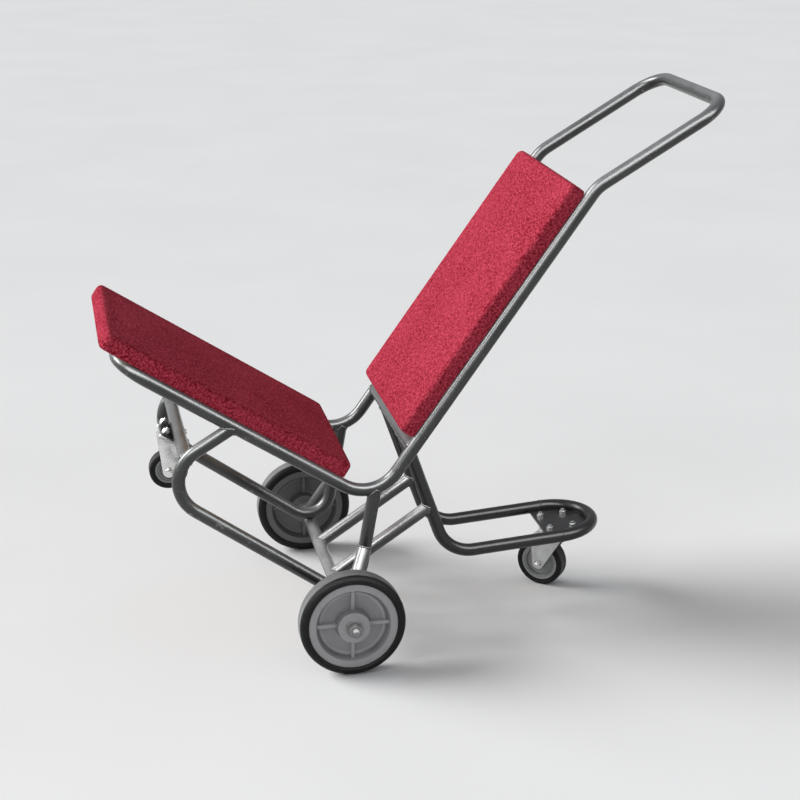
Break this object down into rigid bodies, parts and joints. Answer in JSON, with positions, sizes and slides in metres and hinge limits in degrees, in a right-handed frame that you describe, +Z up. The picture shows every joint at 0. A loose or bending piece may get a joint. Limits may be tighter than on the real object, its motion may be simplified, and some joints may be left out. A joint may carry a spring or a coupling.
{
  "type": "stacking chair trolley",
  "caption": "Trolley for stacked chairs: bent tube frame with a carpeted seat and back, large wheels on a through axle, and swivel casters at the rear and front.",
  "frame": {"origin": "bottom centre of the overall box, on the floor", "axes": "+X towards the handle, +Y to the right of someone pushing, +Z up"},
  "size_m": [1.1686, 0.7226, 1.0376],
  "materials": {
    "frame_paint": "worn satin grey",
    "light_paint": "worn satin light grey",
    "dark_paint": "satin black",
    "zinc": "zinc plated",
    "wheel_core": "moulded, dusty",
    "tyre": "worn rubber",
    "carpet": "cut pile",
    "plywood": "bare plywood"
  },
  "bodies": {
    "frame": {"left_side_rail": "frame_paint", "right_side_rail": "frame_paint", "seat_front_bow": "frame_paint", "handle_bow": "frame_paint", "left_lower_loop": "frame_paint", "right_lower_loop": "frame_paint", "front_cross_tube": "frame_paint", "back_cross_tube": "frame_paint", "axle_tube": "light_paint", "left_outrigger": "light_paint", "right_outrigger": "light_paint", "left_stay": "light_paint", "right_stay": "light_paint", "left_rear_leg": "dark_paint", "right_rear_leg": "dark_paint", "rear_bow": "dark_paint", "rear_mount_plate": "dark_paint", "front_mount_plate": "dark_paint", "seat_lugs": "frame_paint", "back_lugs": "frame_paint", "seat_board": "plywood", "back_board": "plywood", "seat_pad": "carpet", "back_pad": "carpet", "seat_screws": "zinc", "back_screws": "zinc", "axle": "zinc", "hub_washers": "zinc", "axle_nuts": "zinc", "rear_top_plate": "zinc", "front_top_plate": "zinc", "rear_plate_bolts": "zinc", "front_plate_bolts": "zinc", "rear_plate_nuts": "zinc", "front_plate_nuts": "zinc", "rear_race": "zinc", "front_race": "zinc", "rear_kingpin": "zinc", "front_kingpin": "zinc"},
    "left_wheel": {"left_wheel_core": "wheel_core", "left_wheel_tyre": "tyre", "left_hub_bushes": "zinc"},
    "right_wheel": {"right_wheel_core": "wheel_core", "right_wheel_tyre": "tyre", "right_hub_bushes": "zinc"},
    "rear_fork": {"rear_fork": "zinc", "rear_balls": "zinc", "rear_axle_bolt": "zinc", "rear_sleeve": "zinc"},
    "rear_caster_wheel": {"rear_caster_core": "wheel_core", "rear_caster_tyre": "tyre"},
    "front_fork": {"front_fork": "zinc", "front_balls": "zinc", "front_axle_bolt": "zinc", "front_sleeve": "zinc"},
    "front_caster_wheel": {"front_caster_core": "wheel_core", "front_caster_tyre": "tyre"}
  },
  "joints": [
    {"name": "left_wheel_spin", "type": "hinge", "parent": "frame", "child": "left_wheel", "pos_m": [-0.1535, -0.305, 0.1], "axis": [0, 1, 0], "continuous": true},
    {"name": "right_wheel_spin", "type": "hinge", "parent": "frame", "child": "right_wheel", "pos_m": [-0.1535, 0.305, 0.1], "axis": [0, 1, 0], "continuous": true},
    {"name": "rear_swivel", "type": "hinge", "parent": "frame", "child": "rear_fork", "pos_m": [0.32912, 0, 0.13961], "axis": [-0.0819, 0, 0.9966], "continuous": true},
    {"name": "rear_wheel_spin", "type": "hinge", "parent": "rear_fork", "child": "rear_caster_wheel", "pos_m": [0.30724, 0.02443, 0.05052], "axis": [-0.6406, -0.766, -0.0527], "continuous": true},
    {"name": "front_swivel", "type": "hinge", "parent": "frame", "child": "front_fork", "pos_m": [-0.45082, 0, 0.38371], "axis": [0.5693, 0, 0.8221], "continuous": true},
    {"name": "front_wheel_spin", "type": "hinge", "parent": "front_fork", "child": "front_caster_wheel", "pos_m": [-0.46173, 0, 0.31525], "axis": [0, 1, 0], "continuous": true}
  ]
}
